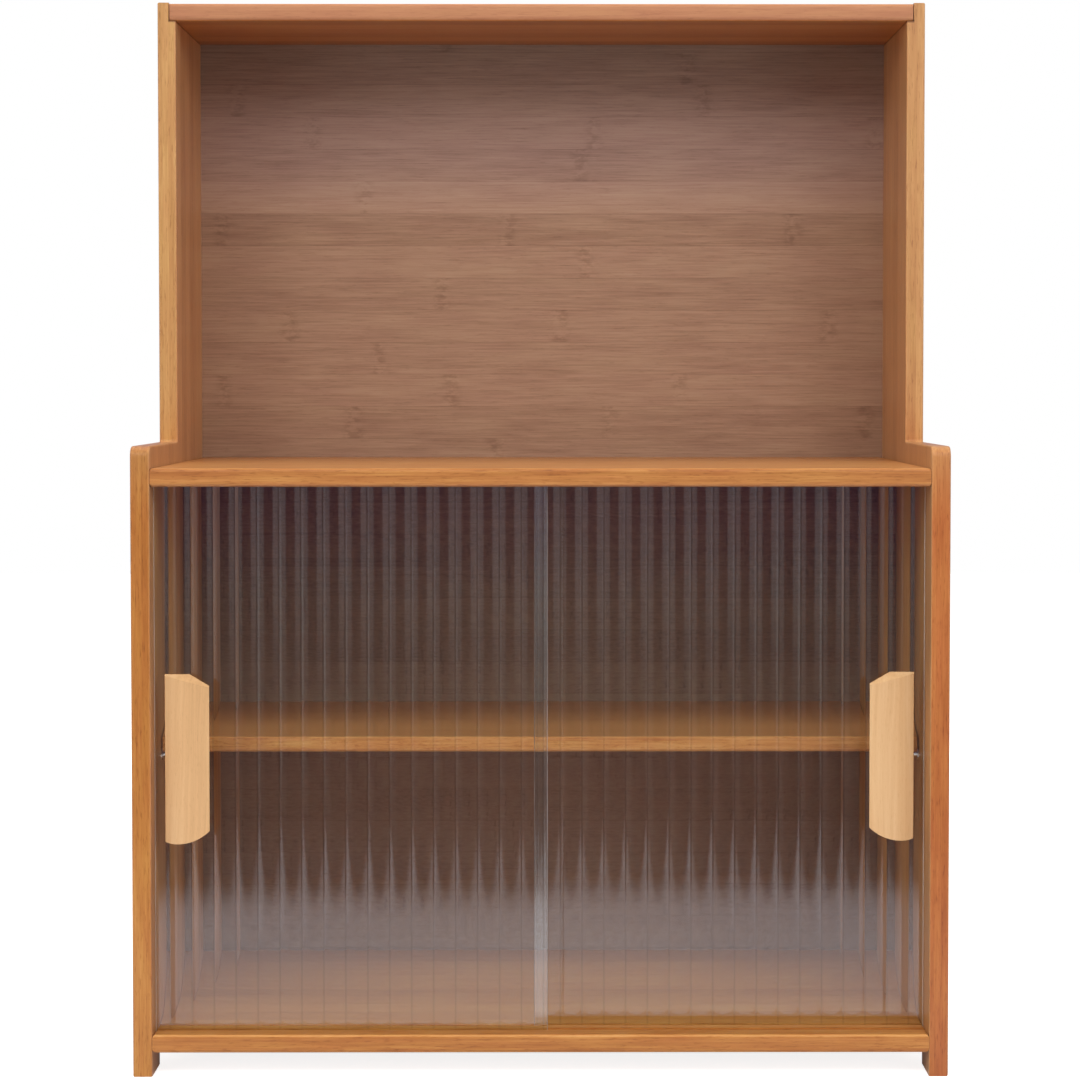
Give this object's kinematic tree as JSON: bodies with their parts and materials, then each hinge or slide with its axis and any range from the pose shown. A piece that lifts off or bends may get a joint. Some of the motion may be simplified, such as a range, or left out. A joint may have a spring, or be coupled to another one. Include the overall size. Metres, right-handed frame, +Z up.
{
  "type": "kitchen cabinet",
  "caption": "Counter-top kitchen cabinet: open niche above, shelf compartment below behind overlapping sliding reeded glass doors with wooden pulls.",
  "frame": {"origin": "on the resting plane under the feet, at the middle of the outer box", "axes": "+Z up, the doors and the open niche face -Y, +X to the right of someone facing them"},
  "size_m": [0.446, 0.24, 0.6],
  "materials": {
    "lacquered_boards": "satin lacquer, orange brown",
    "strip_panel": "laminated bamboo strips under a thin dull varnish",
    "pale_wood": "smooth, clear lacquer",
    "dowel_wood": "raw",
    "reeded_glass": "clear, smooth in front and ribbed behind",
    "clear_bond": "clear adhesive pad",
    "pin_steel": "bright",
    "screw_steel": "zinc plated"
  },
  "bodies": {
    "cabinet": {"back_panel": "strip_panel", "back_screws_bottom": "screw_steel", "back_screws_counter": "screw_steel", "back_screws_top": "screw_steel", "bottom_board": "lacquered_boards", "bottom_dowels_left": "dowel_wood", "bottom_dowels_right": "dowel_wood", "counter_board": "lacquered_boards", "counter_dowels_left": "dowel_wood", "counter_dowels_right": "dowel_wood", "shelf_board": "lacquered_boards", "shelf_pin_back_left": "pin_steel", "shelf_pin_back_right": "pin_steel", "shelf_pin_front_left": "pin_steel", "shelf_pin_front_right": "pin_steel", "side_panel_left": "lacquered_boards", "side_panel_right": "lacquered_boards", "top_board": "lacquered_boards", "top_dowels_left": "dowel_wood", "top_dowels_right": "dowel_wood"},
    "left_door": {"door_glass_left": "reeded_glass", "pull_left": "pale_wood", "pull_bond_left": "clear_bond"},
    "right_door": {"door_glass_right": "reeded_glass", "pull_right": "pale_wood", "pull_bond_right": "clear_bond"}
  },
  "joints": [
    {"name": "left_door_slide", "type": "slide", "parent": "cabinet", "child": "left_door", "axis": [1, 0, 0], "range_m": [0, 0.2087]},
    {"name": "right_door_slide", "type": "slide", "parent": "cabinet", "child": "right_door", "axis": [1, 0, 0], "range_m": [-0.2087, 0]}
  ]
}
